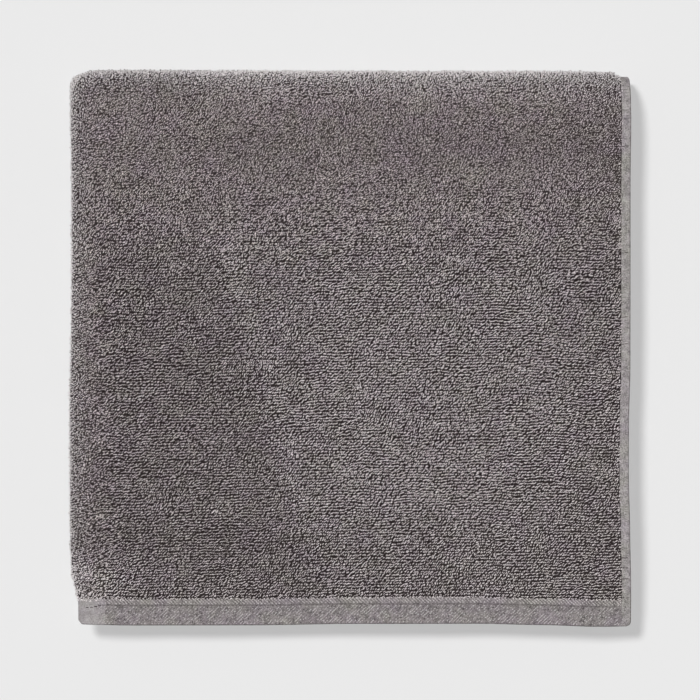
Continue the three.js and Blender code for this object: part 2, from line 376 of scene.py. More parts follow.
def round_corners(a, s):
    side = np.minimum(a, CUT_WIDTH - a)
    end = np.minimum(s, CUT_LENGTH - s)
    turned = np.clip((a - FLAT_ACROSS) / FOLD_RADIUS, 0, math.pi)
    from_fold = np.maximum(FLAT_ACROSS - a, a - FOLD_END)
    from_fold = np.maximum(from_fold, 0) + FOLD_RADIUS * (1 - np.sin(turned))
    inward_a = corner_inset(end) * np.clip(1 - side / CORNER_REACH, 0, 1)
    inward_s = corner_inset(from_fold) * np.clip(1 - end / CORNER_REACH, 0, 1)
    new_a = a + inward_a * np.where(a < CUT_WIDTH / 2, 1, -1)
    new_s = s + inward_s * np.where(s < CUT_LENGTH / 2, 1, -1)
    return new_a, new_s


# %% From the cloth to the stack


def cloth_point(a, s, off):
    """The place of the point a across and s along the cloth, off its middle."""
    a, s, off = np.broadcast_arrays(a, s, off)
    a, s = round_corners(a, s)
    turned = np.clip((a - FLAT_ACROSS) / FOLD_RADIUS, 0, math.pi)
    sine, cosine = np.sin(turned), np.cos(turned)
    flat = np.where(a < FLAT_ACROSS, FLAT_ACROSS - a, np.maximum(a - FOLD_END, 0))
    strip_y, strip_z, left_y, left_z, bend, strip, blend = strip_at(s)
    side_distance = np.minimum(a, CUT_WIDTH - a)
    end_distance = np.minimum(s, CUT_LENGTH - s)
    drawn_in = hem_share(side_distance, SIDE_HEM, DROOP_RUN) * bend
    out = FOLD_RADIUS * cosine + cosine * off + drawn_in
    x = FOLD_X + flat - FOLD_RADIUS * sine - sine * off
    y = strip_y + left_y * out
    z = strip_z + left_z * out - SEAT

    # The hems settle and ripple, each layer in its own way
    layer = layer_at(a)
    side = hem_share(side_distance, 0, SIDE_HEM + DROOP_RUN)
    side_thin = hem_share(side_distance, SIDE_HEM, PILE_STEP)
    end = hem_share(end_distance, 0, END_HEM + DROOP_RUN)
    end_droop = strip_value("end_droop", strip, blend, layer) * MM
    ripple = strip_value("ripple", strip, blend)
    phase = ripple + layer * math.pi / 2
    height = z / STACK_HEIGHT
    wave = np.sin(2 * math.pi * y / RIPPLE_LENGTH + phase)
    end_wave = np.sin(2 * math.pi * x / RIPPLE_LENGTH + phase)
    own = (ripple + 2.6 * layer) * WOBBLE_SIZE
    wobble = WOBBLE * (0.3 + height)
    z = z - np.maximum(SIDE_DROOP * side_thin, end_droop * end)
    z = z + side * (RIPPLE_DEPTH * height * wave + wobble * soft_noise(y, own, WOBBLE_SIZE, 21))
    only_end = end * (1 - side)
    z = z + only_end * RIPPLE_DEPTH * height * end_wave
    z = z + only_end * wobble * soft_noise(x, own, WOBBLE_SIZE, 22)
    swell = swell_at(x, y)

    # The edges wander
    across = (x - LEFT_X) / (RIGHT_X - LEFT_X)
    along = (y - FRONT_Y) / (BACK_Y - FRONT_Y)
    hem_back = strip_value("hem_back", strip, blend, layer) * MM
    fold_back = strip_value("fold_back", strip, blend) * MM
    right = reading(RIGHT_EDGE, y) - hem_back * ease((across - 0.5) * 2)
    left = reading(LEFT_EDGE, y) - fold_back
    front = np.where(
        strip == 0,
        reading(TOP_END_EDGE, x),
        np.where(strip == 3, reading(TUCKED_END_EDGE, x), reading(FRONT_FOLD_EDGE, x)),
    )
    new_x = x + right * across - left * (1 - across)
    new_y = y + reading(BACK_EDGE, x) * along - front * (1 - along)
    return np.stack([new_x, new_y, np.maximum(z * swell, 0)], -1)


# %% Centre the cloth on the frame


def frame_shift():
    """The frame is centred on its own outline, so the cloth is moved to match it."""
    a, s = np.meshgrid(np.linspace(0, CUT_WIDTH, 260), np.linspace(0, CUT_LENGTH, 700))
    outline = cloth_point(a, s, TERRY_HALF).reshape(-1, 3)
    centre = (outline.min(0) + outline.max(0)) / 2
    cad_low, cad_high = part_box("towel")
    return np.array([
        (cad_low[0] + cad_high[0]) / 2 - centre[0],
        (cad_low[1] + cad_high[1]) / 2 - centre[1],
        0,
    ])


SHIFT = frame_shift()


def place(a, s, off):
    return cloth_point(a, s, off) + SHIFT


print("shift", SHIFT)

# %% [markdown]
# ## The sheet
# The sheet is a closed skin with an outer and an inner face. Where the pile shows,
# the ground that its loops stand on lies deeper than the frame's face, so that the
# tips of the loops end where the frame does. Points are close together round the
# folds and hems and far apart where the layers lie flat and hidden.

# %% How thick the ground is
GROUND_HALF = 1.3 * MM
SHOWING_RUN = 6 * MM
EDGE_LOOPS = 2.6 * MM
EDGE_RUN = 3 * MM
STITCH_AT = 11.5 * MM
GROOVE_DEPTH = 0.5 * MM
GROOVE_WIDTH = 0.36 * MM


def band(value, low, high, run):
    """1 between low and high, easing to 0 over run inside both ends."""
    return ease((value - low) / run) * ease((high - value) / run)


def pile_share(a, s):
    """1 where loops stand on the outer face of the cloth, 0 where it is hidden."""
    top = band(s, END_HEM, ROLL_END + 4 * MM, PILE_STEP)
    front = band(s, FRONT_START - 8 * MM, FRONT_END + 8 * MM, SHOWING_RUN)
    first = band(a, SIDE_HEM, FOLD_END + 8 * MM, PILE_STEP)
    fold = band(a, FLAT_ACROSS - 8 * MM, FOLD_END + 8 * MM, SHOWING_RUN)
    ends = band(s, END_HEM, CUT_LENGTH - END_HEM, PILE_STEP)
    return np.maximum(np.maximum(top, front) * first, fold * ends)


def half_thickness(a, s, face):
    side = hem_share(np.minimum(a, CUT_WIDTH - a), SIDE_HEM + EDGE_LOOPS, EDGE_RUN)
    end = hem_share(np.minimum(s, CUT_LENGTH - s), END_HEM, PILE_STEP)
    half = mix(TERRY_HALF, HEM_HALF, np.maximum(side, end))
    if face < 0:
        return half
    half = mix(half, np.minimum(half, GROUND_HALF), pile_share(a, s))
    sewn = slope(a, 2 * MM, 8 * MM) * slope(a, FLAT_ACROSS - 1 * MM, FLAT_ACROSS - 14 * MM)
    return half - GROOVE_DEPTH * sewn * np.exp(-(((s - STITCH_AT) / GROOVE_WIDTH) ** 2))


# %% Where the sheet has points


def spaced(start, stop, step):
    return np.linspace(start, stop, max(2, math.ceil((stop - start) / step) + 1))


def stops_across():
    hem = [0, 0.4, 1.2, 2.75, 4.3, 5.0, 5.5, 6.0, 6.5, 7.0, 8.1, 9.5, 11.1]
    first = np.r_[np.array(hem) * MM, spaced(16 * MM, FLAT_ACROSS - 14 * MM, 9 * MM)]
    first = np.r_[first, FLAT_ACROSS + np.array([-10, -7, -4, -2.6, -1.3, -0.6, 0]) * MM]
    fold = np.linspace(FLAT_ACROSS, FOLD_END, 13)[1:-1]
    return np.r_[first, fold, CUT_WIDTH - first[::-1]]


def stops_along():
    end = [0, 0.12, 0.4, 0.9, 1.5, 2.2, 3, 5.5, 8.5, 10, 10.6, 11, 11.3, 11.5, 11.7, 12, 12.4]
    end = np.r_[end, 13.8, 15.4, 16.5, 17.0, 17.5, 18.0, 20] * MM
    top = spaced(26 * MM, ROLL_START, 6 * MM)
    roll = np.linspace(ROLL_START, ROLL_END, 25)[1:]
    bottom = spaced(ROLL_END, FRONT_START, 8 * MM)[1:]
    front = np.linspace(FRONT_START, FRONT_END, 15)[1:]
    second = spaced(FRONT_END, PATH[5, 0], 8 * MM)[1:]
    inner = np.linspace(PATH[5, 0], PATH[6, 0], 13)[1:]
    third = spaced(PATH[6, 0], CUT_LENGTH - 26 * MM, 8 * MM)[1:]
    return np.r_[end, top, roll, bottom, front, second, inner, third, CUT_LENGTH - end[::-1]]


# %% Build meshes from arrays


def new_piece(name, points, faces, uv_maps, tone=None):
    """A mesh object from arrays: faces are rows of point numbers, and each UV map
    has a pair for every corner of every face."""
    mesh = bpy.data.meshes.new(name)
    mesh.from_pydata(points.reshape(-1, 3).tolist(), [], faces.tolist())
    for layer_name, pairs in uv_maps.items():
        layer = mesh.uv_layers.new(name=layer_name)
        layer.data.foreach_set("uv", np.ascontiguousarray(pairs, np.float32).ravel())
    if tone is not None:
        attribute = mesh.attributes.new("tone", "FLOAT", "POINT")
        attribute.data.foreach_set("value", np.ascontiguousarray(tone, np.float32))
    mesh.polygons.foreach_set("use_smooth", np.ones(len(mesh.polygons), bool))
    mesh.validate()
    piece = bpy.data.objects.new(name, mesh)
    bpy.context.scene.collection.objects.link(piece)
    return piece


def quads(rows, columns, base, flip):
    """Point numbers of a grid of quads, rows by columns of points."""
    i, j = np.meshgrid(np.arange(rows - 1), np.arange(columns - 1), indexing="ij")
    corner = (i * columns + j).ravel() + base
    ring = np.stack([corner, corner + 1, corner + columns + 1, corner + columns], 1)
    return ring[:, ::-1] if flip else ring


# %% Make the sheet


def unit(vectors):
    return vectors / np.linalg.norm(vectors, axis=-1, keepdims=True)


def make_sheet():
    across, along = stops_across(), stops_along()
    rows, columns = len(across), len(along)
    a, s = np.meshgrid(across, along, indexing="ij")
    outer = place(a, s, half_thickness(a, s, 1))
    inner = place(a, s, -half_thickness(a, s, -1))

    # The rim is a rounded edge pushed out from the middle of the thickness
    border = [(0, j) for j in range(columns - 1)]
    border += [(i, columns - 1) for i in range(rows - 1)]
    border += [(rows - 1, j) for j in range(columns - 1, 0, -1)]
    border += [(i, 0) for i in range(rows - 1, 0, -1)]
    i, j = np.array(border).T
    middle = (outer[i, j] + inner[i, j]) / 2
    inside_i, inside_j = np.clip(i, 1, rows - 2), np.clip(j, 1, columns - 2)
    inside = (outer[inside_i, inside_j] + inner[inside_i, inside_j]) / 2
    tangent = unit(np.roll(middle, -1, 0) - np.roll(middle, 1, 0))
    thick = unit(outer[i, j] - inner[i, j])
    outwards = unit(np.cross(tangent, thick))
    outwards *= np.sign(((middle - inside) * outwards).sum(1, keepdims=True))
    rim = middle + HEM_ROUND * outwards
    rim[:, 2] = np.maximum(rim[:, 2], 0)

    points = np.concatenate([outer.reshape(-1, 3), inner.reshape(-1, 3), rim])
    count = rows * columns
    o, n = i * columns + j, i * columns + j + count
    m = np.arange(len(rim)) + 2 * count
    upper = np.stack([o, m, np.roll(m, -1), np.roll(o, -1)], 1)
    lower = np.stack([m, n, np.roll(n, -1), np.roll(m, -1)], 1)
    faces = np.concatenate([
        quads(rows, columns, 0, False), quads(rows, columns, count, True), upper, lower
    ])

    # Cloth coordinates in metres for every point, the rim a little outside
    push_a = np.where(i == 0, -1, np.where(i == rows - 1, 1, 0))
    push_s = np.where(j == 0, -1, np.where(j == columns - 1, 1, 0))
    flat_a = np.r_[a.ravel(), a.ravel(), across[i] + push_a * HEM_ROUND]
    flat_s = np.r_[s.ravel(), s.ravel(), along[j] + push_s * HEM_ROUND]
    cloth_uv = np.stack([flat_a, flat_s], 1)[faces.ravel()]
    on_inner = np.r_[np.zeros(count), np.ones(count), np.zeros(len(rim))]
    inner_face = on_inner[faces].max(1) > 0.5
    bake = cloth_uv / [CUT_WIDTH, CUT_LENGTH] * [0.46, 0.96] + [0.02, 0.02]
    bake[np.repeat(inner_face, 4), 0] += 0.5
    return points, faces, inner_face, {"cloth": cloth_uv, "OFBake": bake}


sheet_points, sheet_faces, on_inner_face, sheet_maps = make_sheet()
towel_cloth = new_piece("towel_cloth", sheet_points, sheet_faces, sheet_maps)
print("sheet", len(sheet_points), "points", len(sheet_faces), "faces")

# %% [markdown]
# ## Small shapes on the cloth
# Loops, twill floats and stitches are all short bars of yarn that lie on the cloth
# with their two ends sunk in it. One low shape of eight faces serves for all of them,
# so that a hundred thousand can be laid.

# %% One bar of yarn
# Its points: along it, across it and up, as shares of length, width and rise
BAR_POINTS = np.array([
    [-0.5, -1.0, 0.0],
    [-0.5, 1.0, 0.0],
    [0.5, -1.0, 0.0],
    [0.5, 1.0, 0.0],
    [-0.26, 0.0, 1.0],
    [0.26, 0.0, 1.0],
])
BAR_FACES = np.array([
    [0, 1, 3], [0, 3, 2],
    [0, 2, 5], [0, 5, 4], [1, 4, 5], [1, 5, 3],
    [0, 4, 1], [2, 3, 5],
])
BAR_CROWN = BAR_POINTS[:, 2] > 0


def outward(points, faces):
    """The faces, each turned so that it looks away from the middle of the points."""
    middle = points.mean(0)
    corners = points[faces]
    normal = np.cross(corners[:, 1] - corners[:, 0], corners[:, 2] - corners[:, 0])
    wrong = ((corners.mean(1) - middle) * normal).sum(1) < 0
    faces = faces.copy()
    faces[wrong] = faces[wrong][:, ::-1]
    return faces


BAR_FACES = outward(BAR_POINTS, BAR_FACES)

# %% Lay bars on the cloth
STEP = 0.4 * MM


def surface_frame(a, s, face):
    """Point, direction across, direction along and outward normal of one face."""
    off = face * half_thickness(a, s, face)
    point = place(a, s, off)
    across = unit(place(a + STEP, s, off) - place(a - STEP, s, off))
    along = place(a, s + STEP, off) - place(a, s - STEP, off)
    normal = unit(np.cross(along, across)) * face
    return point, across, np.cross(across, normal) * face, normal


def cell_maps(count, faces):
    """A bake map that gives every small shape a square of its own."""
    cells = math.ceil(math.sqrt(count))
    k = np.arange(count)
    origin = np.stack([k % cells, k // cells], 1)
    per_face = math.ceil(math.sqrt(faces / 2))
    f = np.arange(faces)
    half = f // 2
    base = np.stack([half % per_face, half // per_face], 1)[:, None, :]
    low = np.array([[0.08, 0.08], [0.92, 0.08], [0.08, 0.92]])
    high = np.array([[0.92, 0.92], [0.12, 0.92], [0.92, 0.12]])
    corner = np.where((f % 2 == 0)[:, None, None], low, high)
    inside = (base + corner) / per_face
    every = origin[:, None, None, :] + 0.03 + 0.94 * inside[None]
    return (every / cells).reshape(-1, 2)


def lay_bars(name, a, s, turn_deg, length, width, rise, sink, tone, foot, lean=None, face=1):
    """Bars at the places a, s, turned by turn_deg from the direction across. length,
    width, rise and lean are in metres, one for each bar, and tone is 0 to 1.3 for
    the two ends of each crown. foot is the share of the tone that its foot has: a
    foot darker than its crown is painted shade, low between the bars."""
    count = len(a)
    point, across, along, normal = surface_frame(a, s, face)
    turn = np.radians(turn_deg)[:, None]
    forward = np.cos(turn) * across + np.sin(turn) * along
    sideways = np.cross(normal, forward)
    lean = np.zeros((count, 2)) if lean is None else lean
    along_bar = BAR_POINTS[:, 0] * length[:, None] + lean[:, :1] * BAR_CROWN
    aside = BAR_POINTS[:, 1] * width[:, None] + lean[:, 1:] * BAR_CROWN
    up = np.where(BAR_CROWN, rise[:, None], -sink)
    points = point[:, None] + forward[:, None] * along_bar[..., None]
    points = points + sideways[:, None] * aside[..., None] + normal[:, None] * up[..., None]
    points[..., 2] = np.maximum(points[..., 2], 0)
    faces = (np.arange(count)[:, None, None] * len(BAR_POINTS) + BAR_FACES[None]).reshape(-1, 3)
    tone = np.clip(tone, 0, 1.3)
    # A foot darker than its crown is painted shade, low between the bars
    tones = np.repeat(foot * tone.mean(1, keepdims=True), len(BAR_POINTS), 1)
    tones[:, BAR_CROWN] = tone
    bake = cell_maps(count, len(BAR_FACES))
    piece = new_piece(name, points, faces, {"OFBake": bake}, tones.ravel())
    print(name, count, "bars", len(faces), "faces")
    return piece


# %% [markdown]
# ## The loops of the pile
# Loops stand in rows across the cloth, as they are woven, but they lean and turn
# where hands and washing have pushed them, so each gets its own turn, size and tone.
# Over that tone lies painted light and painted shade, region by region, for how the
# light falls on the folds, the crease and the edges.
# Rows keep their distance on the outside of a fold too, where the cloth is longer.
# Near the roll and the folded side the pile is brushed smooth: its loops are shorter,
# lower and more even there, and more of them fill the gaps between the rows.

# %% Rows that keep their distance round the folds
ROW_PITCH = 1.71 * MM
LOOP_PITCH = 1.18 * MM


def outer_length(places, stretches):
    return np.r_[0, np.cumsum(np.diff(places) * stretches)]


along_places = np.r_[PATH[:, 0], CUT_LENGTH]
along_stretches = np.where(
    PATH[:, 5] < 0, 1 + TERRY_HALF / np.maximum(PATH[:, 6], FOLD_RADIUS), 1
)
along_lengths = outer_length(along_places, along_stretches)
across_places = np.array([0, FLAT_ACROSS, FOLD_END, CUT_WIDTH])
across_stretches = np.array([1, 1 + TERRY_HALF / FOLD_RADIUS, 1])
across_lengths = outer_length(across_places, across_stretches)
ROW_COUNT = int(along_lengths[-1] / ROW_PITCH)
LANE_COUNT = int(across_lengths[-1] / LOOP_PITCH)


def from_lengths(u, v):
    """Cloth coordinates of places that are counted along the outside of the folds."""
    a = np.interp(u, across_lengths, across_places)
    s = np.interp(v, along_lengths, along_places)
    return a.ravel(), s.ravel()


def rows_of_places(rows, lanes, seed, shift=0.0):
    """Places a, s of the loops in those rows and lanes, each a little off its own.
    shift moves them all by that share of a row and of a loop."""
    random = np.random.default_rng(seed)
    row, lane = np.meshgrid(rows, lanes, indexing="ij")
    start = np.random.default_rng(7).uniform(0, 1, ROW_COUNT + 1)[row] + shift

    # The rows are less even near the folded side and more even near the roll
    loose = 1 + 0.3 * slope(lane * LOOP_PITCH, FLAT_ACROSS - 55 * MM, FLAT_ACROSS - 8 * MM)
    before_roll = along_lengths[1] - row * ROW_PITCH
    loose = loose - 0.2 * slope(before_roll, 100 * MM, 20 * MM)
    u = (lane + start + random.normal(0, 0.22, row.shape)) * LOOP_PITCH
    v = (row + shift + random.normal(0, 0.145, row.shape) * loose) * ROW_PITCH
    v = v + 0.6 * MM * soft_noise(u, v, 9 * MM, 8) + 1.3 * MM * soft_noise(u, v, 60 * MM, 9)
    return from_lengths(u, v)


# %% How the loops lie, and the light and shade painted on them
LOOP_LENGTH = 1.58 * MM
LOOP_HALF_WIDTH = 0.325 * MM
LOOP_RISE = 0.7 * MM
LOOP_SINK = 0.25 * MM
LOOP_LEAN_DEG = -42


def loop_turn(a, s):
    """How far the loops lie turned from their rows, in degrees, by region.
    a runs to the left on the top layer, so a lean up to the right is negative."""
    base = LOOP_LEAN_DEG + slope(a, 0, FLAT_ACROSS)
    return base + 13 * soft_noise(a, s, 26 * MM, 5) + 9 * soft_noise(a, s, 8 * MM, 6)


# How much lighter the pile is painted in each region, and over which millimetres it gets
# so: painted light where the gain is above nothing, painted shade where it is below
PAINTED_LIGHT_REGIONS = [
    {"name": "right edge", "gain": -0.1, "x": (116, 150)},
    {"name": "front edge", "gain": -0.1, "y": (-95, -125)},
    {"name": "over the roll", "gain": 0.17, "x": (-115, -55), "y": (146, 156)},
    {"name": "right of the crease", "gain": 0.08, "x": (-60, 10), "y": (60, 20)},
    {"name": "front left corner", "gain": 0.3, "x": (-122, -150), "y": (-116, -138)},
    {"name": "folded side", "gain": 0.06, "x": (-157, -169)},
]

# Painted shade on the low cloth left of the crease, painted light on the crease's wall,
# painted shade in the trough before the roll, and painted light where the cloth tilts
LOW_SHADE_GAIN = -0.19
WALL_LIGHT = {"gain": 0.06, "beside": 12 * MM, "half": 9 * MM}
TROUGH_SHADE = {"gain": -0.14, "y": 127 * MM, "half": 28 * MM}
TILT_LIGHT_GAIN = 0.06


def region_share(region, x, y):
    share = 1
    for axis, at in (("x", x), ("y", y)):
        if axis in region:
            share = share * slope(at, *(MM * place for place in region[axis]))
    return share


def painted_pile_light(point, normal):
    """Painted light and painted shade on the pile's tone. It is lighter over the roll, the
    folded side, the front left corner and right of the crease. It is darker left of the
    crease and in the trough before the roll, where the cloth lies low, and at the right
    and front edges, which turn away from the light."""
    x, y = point[:, 0], point[:, 1]
    low = left_of_crease(x, y) * slope(x, -166 * MM, -152 * MM)
    shade = 1 + LOW_SHADE_GAIN * low * mix(0.4, 1, slope(y, -150 * MM, -112 * MM))
    crease = CREASE_X + CREASE_LEAN * (CREASE_Y - y)
    wall = ease(1 - np.abs(x - crease - WALL_LIGHT["beside"]) / WALL_LIGHT["half"])
    wall = wall * slope(y, 75 * MM, 55 * MM) * slope(y, -110 * MM, -90 * MM)
    trough = ease(1 - np.abs(y - TROUGH_SHADE["y"]) / TROUGH_SHADE["half"])
    trough = trough * slope(x, -115 * MM, -70 * MM)
    shade += WALL_LIGHT["gain"] * wall + TROUGH_SHADE["gain"] * trough
    for region in PAINTED_LIGHT_REGIONS:
        shade += region["gain"] * region_share(region, x, y)
    return shade + TILT_LIGHT_GAIN * slope(normal[:, 2], 0.98, 0.5)


# %% Where the pile is brushed smooth
# It starts at the first place and is full at the second. On the rim a painted sheen
# turns the colour grey
BRUSHED = {"Y": (30 * MM, 120 * MM), "X": (-138 * MM, -168 * MM)}
SHEEN_RIM = {"Y": (148 * MM, 167 * MM), "X": (-156 * MM, -169 * MM)}

# The share that a brushed loop loses of each, and how far its tone goes to one even tone
BRUSHED_LOSS = {"light": 0.1, "width": 0.1, "length": 0.3, "rise": 0.36}
BRUSHED_EVEN = 0.65
EVEN_TONE = 0.85

# Where the pile is painted lighter its loops are also made wider, and a tuft stands higher
OPEN_WIDER = 0.8
TUFT_SHARE = 0.2
TUFT_RISE = 1.5


def brushed_at(x, y):
    """1 where the pile is brushed smooth, beside the roll and the folded side."""
    return np.maximum(slope(y, *BRUSHED["Y"]), slope(x, *BRUSHED["X"]))


def pile(name, a, s, seed, face=1):
    """Loops at the places a, s of one face, each shaped and toned by where it stands,
    with painted light and painted shade on the tone.
    """
    random = np.random.default_rng(seed)
    count = len(a)
    point, _, _, normal = surface_frame(a, s, face)
    own = random.uniform(0.62, 1.22, count)[:, None] + random.normal(0, 0.07, (count, 2))
    # light is painted light and painted shade on the tone, by region and tilt; above one it also
    # evens the tone and widens the loops
    light = painted_pile_light(point, normal)
    painted_lift = np.clip(light - 1, 0, 1)
    brushed = brushed_at(point[:, 0], point[:, 1])
    own = mix(own, EVEN_TONE, np.maximum(painted_lift, BRUSHED_EVEN * brushed)[:, None])
    left = {what: 1 - loss * brushed for what, loss in BRUSHED_LOSS.items()}
    wider = left["width"] + OPEN_WIDER * painted_lift

    # Over the folds one loop in five stands out of the edge as a small tuft
    over_fold = slope(normal[:, 2], 0.8, 0.3)
    tuft = 1 + TUFT_RISE * over_fold * (random.uniform(0, 1, count) > 1 - TUFT_SHARE)
    return lay_bars(
        name, a, s,
        turn_deg=loop_turn(a, s) + random.normal(0, 12, count),
        length=LOOP_LENGTH * random.uniform(0.7, 1.3, count) * left["length"],
        width=LOOP_HALF_WIDTH * random.uniform(0.75, 1.25, count) * wider,
        rise=LOOP_RISE * random.uniform(0.7, 1.3, count) * left["rise"] * tuft,
        sink=LOOP_SINK,
        tone=own * (light * left["light"])[:, None],
        foot=0.78,
        lean=random.normal(0, 0.12, (count, 2)) * MM,
        face=face,
    )


# %% Sow the rows piece by piece
FRAYED = 1.1 * MM
OVER_END_HEM = 1.2 * MM
OVER_HEM_CORNER = 1.5 * MM
OVER_SIDE_HEM = 0.3 * MM


def shows(a, s):
    """Loops stand up to an uneven line a little over the hems."""
    fray = FRAYED * soft_noise(a, s, 3.5 * MM, 31)
    at_corner = slope(a, FLAT_ACROSS - 14 * MM, FLAT_ACROSS - 6 * MM)
    end_from = END_HEM - OVER_END_HEM - OVER_HEM_CORNER * at_corner
    beside_side = np.minimum(a, CUT_WIDTH - a) + fray > SIDE_HEM - OVER_SIDE_HEM
    beside_end = np.minimum(s, CUT_LENGTH - s) + 0.5 * fray > end_from
    near = pile_share(np.maximum(a, SIDE_HEM + PILE_STEP), np.maximum(s, END_HEM + PILE_STEP))
    return beside_side & beside_end & (near > 0.4)


pile_pieces = []


def sow(name, rows, seed):
    a, s = rows_of_places(rows, np.arange(-1, LANE_COUNT + 1), seed)
    keep = shows(a, s)
    pile_pieces.append(pile(name, a[keep], s[keep], seed + 1))


def row_at(s):
    return int(np.interp(s, along_places, along_lengths) / ROW_PITCH)


first_row = row_at(END_HEM) - 2
roll_row = row_at(ROLL_START)
for part in range(3):
    from_row = first_row + (roll_row - first_row) * part // 3
    to_row = first_row + (roll_row - first_row) * (part + 1) // 3
    sow(f"pile_top_{part + 1}", np.arange(from_row, to_row), 100 + 10 * part)
after_roll = row_at(ROLL_END + 5 * MM)
sow("pile_roll", np.arange(roll_row, after_roll), 200)
sow("pile_folds", np.arange(after_roll, ROW_COUNT), 300)

# %% Sow between the rows
BETWEEN_SHARE = 0.75


def sow_between(name, rows, share, seed):
    """Where the pile is brushed its rows are lost, as loops fill the gaps between them."""
    random = np.random.default_rng(seed)
    a, s = rows_of_places(rows, np.arange(-1, LANE_COUNT + 1), seed, 0.5)
    x, y, _ = place(a, s, TERRY_HALF).T
    keep = shows(a, s) & (random.uniform(0, 1, len(a)) < share * brushed_at(x, y))
    pile_pieces.append(pile(name, a[keep], s[keep], seed + 1))


sow_between("pile_between", np.arange(first_row, after_roll), BETWEEN_SHARE, 350)

# %% Fill the open edges of the layers
# Beside the side hems the loops of all layers show in the slots of the open side


def sow_edges():
    rows = np.arange(first_row, ROW_COUNT - first_row)
    lanes_first = np.arange(2) + (SIDE_HEM + 0.7 * MM) / LOOP_PITCH
    lanes_last = LANE_COUNT - 1 - lanes_first
    lanes = np.r_[lanes_first, lanes_last]
    for face, name in ((1, "pile_edges_outer"), (-1, "pile_edges_inner")):
        random = np.random.default_rng(400 + face)
        row, lane = np.meshgrid(rows, lanes, indexing="ij")
        u = (lane + random.normal(0, 0.2, row.shape)) * LOOP_PITCH
        v = (row + random.normal(0, 0.15, row.shape)) * ROW_PITCH
        a, s = from_lengths(u, v)
        if face > 0:
            hidden = pile_share(a, s) < 0.4
            a, s = a[hidden], s[hidden]
        pile_pieces.append(pile(name, a, s, 410 + face, face))


sow_edges()

# %% [markdown]
# ## The twill band and its stitches
# The end hem on top ends in a band of twill: short floats of yarn that climb aslant
# in even lines. Above it runs one row of stitches in a shallow groove. Near the fold
# and at the side hem the band is smooth.

# %% Floats of the twill
FLOAT_SPACING = 2.2 * MM
FLOAT_STEP_X = 0.95 * MM
FLOAT_STEP_Y = 0.9 * MM
TWILL_FROM = 0.35 * MM
TWILL_TO = 10.5 * MM
PLAIN_FROM = 12.6 * MM
PLAIN_TO = 15.3 * MM
TWILL_FIRST = 6.4 * MM
TWILL_LAST = FLAT_ACROSS - 9.5 * MM


def lay_floats(name, s_from, s_to, way, width, tone_from, tone_to, seed):
    """Floats between two distances from the end, climbing to one side (way 1 or -1)."""
    random = np.random.default_rng(seed)
    steps = int((s_to - s_from) / FLOAT_STEP_Y) + 1
    lines = int(CUT_WIDTH / 2 / FLOAT_SPACING) + 12
    line, step = np.meshgrid(np.arange(-12, lines), np.arange(steps), indexing="ij")
    a = line * FLOAT_SPACING - way * step * FLOAT_STEP_X
    s = s_from + (step + 0.25) * FLOAT_STEP_Y
    a = (a + random.normal(0, 0.1 * MM, a.shape)).ravel()
    s = (s + random.normal(0, 0.06 * MM, s.shape)).ravel()
    fray = 2 * MM * soft_noise(a, s, 2.4 * MM, 32)
    keep = (a + fray > TWILL_FIRST) & (a + fray < TWILL_LAST)
    a, s = a[keep], s[keep]
    count = len(a)
    tone = random.uniform(tone_from, tone_to, count)
    tone = mix(tone, 1.0, 0.7 * slope(a, TWILL_LAST - 12 * MM, TWILL_LAST))[:, None]
    return lay_bars(
        name, a, s,
        turn_deg=-43 * way + random.normal(0, 6, count),
        length=1.35 * MM * random.uniform(0.85, 1.15, count),
        width=width * random.uniform(0.85, 1.15, count),
        rise=0.4 * MM * random.uniform(0.8, 1.2, count),
        sink=0.12 * MM,
        tone=tone + random.normal(0, 0.2, (count, 2)),
        foot=0.5,
    )


hem_twill = lay_floats("hem_twill", TWILL_FROM, TWILL_TO, 1, 0.35 * MM, 0.15, 1.3, 500)
hem_weave = lay_floats("hem_weave", PLAIN_FROM, PLAIN_TO, -1, 0.5 * MM, 0.7, 1.1, 520)

# %% Stitches along the hem, and painted shade for tucks across the side hem
STITCH_PITCH = 2.5 * MM
STITCH_LENGTH = 1.8 * MM
TUCKS = [16.9, 28.4, 35.2, 41.4, 171.9, 188.4, 227.6, 292.6]


def make_stitches():
    random = np.random.default_rng(600)
    a = np.arange(SIDE_HEM + 9 * MM, FLAT_ACROSS - 2 * MM, STITCH_PITCH)
    a = a + random.normal(0, 0.15 * MM, len(a))
    dip = 1.5 * MM * slope(a, FLAT_ACROSS - 12 * MM, FLAT_ACROSS - 4 * MM)
    s = STITCH_AT - dip + random.normal(0, 0.07 * MM, len(a))
    length = STITCH_LENGTH * random.uniform(0.7, 1.2, len(a))

    # Each tuck is a thin dark bar over the side hem, broken in two: painted shade in the crease of
    # the tuck
    tuck_s = np.repeat(np.array(TUCKS) * MM, 2) + random.normal(0, 0.15 * MM, 2 * len(TUCKS))
    tuck_a = np.tile([1.9, 4.2], len(TUCKS)) * MM
    a, s = np.r_[a, tuck_a], np.r_[s, tuck_s]
    length = np.r_[length, random.uniform(1.8, 2.5, len(tuck_a)) * MM]
    count = len(a)
    return lay_bars(
        "hem_stitches", a, s,
        turn_deg=random.normal(0, 5, count),
        length=length,
        width=random.uniform(0.26, 0.38, count) * MM,
        rise=0.34 * MM * random.uniform(0.8, 1.2, count),
        sink=0.12 * MM,
        tone=random.uniform(0.1, 0.7, count)[:, None] + np.zeros((count, 2)),
        foot=1.0,
    )


hem_stitches = make_stitches()

# %% [markdown]
# ## The finishes
# All the cloth is one grey cotton yarn. A shared group mixes its dark and its light
# shade by tone, with fine flecks of fibre and a faint drift from warm to cool. Other
# groups make the plain weave of the hems and, where no loops are laid, the look of
# the pile. The ground between the loops is nearly black, as little light gets there.
# One more group says where the pile is brushed smooth, with fewer flecks and lighter
# shade painted in the gaps, and where a painted sheen turns its rim a plain grey.

# %% Small helpers for nodes


